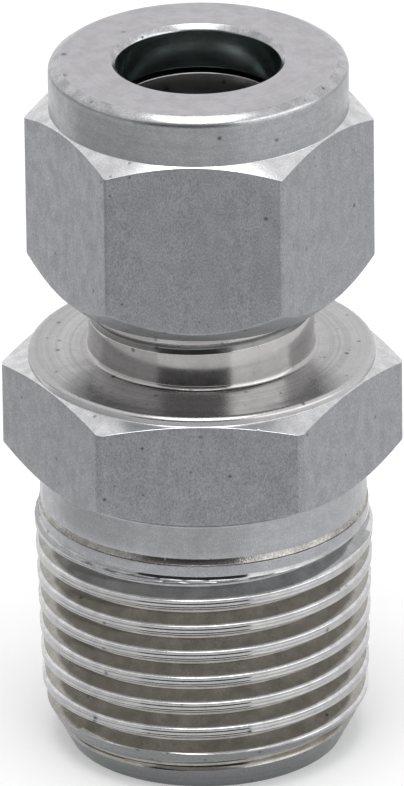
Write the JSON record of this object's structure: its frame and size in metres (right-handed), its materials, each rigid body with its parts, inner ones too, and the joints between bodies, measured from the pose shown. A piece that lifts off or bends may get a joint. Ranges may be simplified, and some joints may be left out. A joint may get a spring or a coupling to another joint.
{
  "type": "threaded tube connector",
  "caption": "Straight male connector: taper pipe thread, spanner hexagon, and a union nut that presses two ferrules onto a tube.",
  "frame": {"origin": "centre of the pipe thread's end face, on the axis of the fitting", "axes": "+Z along the fitting's axis from the pipe end to the tube end, -Y square to the body flat that faces the viewer, +X to the viewer's right"},
  "size_m": [0.0252, 0.022, 0.0463],
  "materials": {
    "satin_steel": "satin stainless steel with turned and milled faces",
    "turned_steel": "fine turned stainless steel"
  },
  "bodies": {
    "fitting_body": {"connector_body": "satin_steel", "front_ferrule": "turned_steel"},
    "ferrule_slide": {"rear_ferrule": "turned_steel"},
    "nut": {"tube_nut": "satin_steel"}
  },
  "joints": [
    {"name": "nut_travel", "type": "slide", "parent": "fitting_body", "child": "ferrule_slide", "axis": [0, 0, 1], "range_m": [0, 0.00635]},
    {"name": "nut_turn", "type": "hinge", "parent": "ferrule_slide", "child": "nut", "pos_m": [0, 0, 0], "axis": [0, 0, 1], "range_deg": [0, 1800]}
  ],
  "couplings": [
    {"joint": "nut_travel", "follows": "nut_turn", "m_per_rad": 0.00020213}
  ]
}
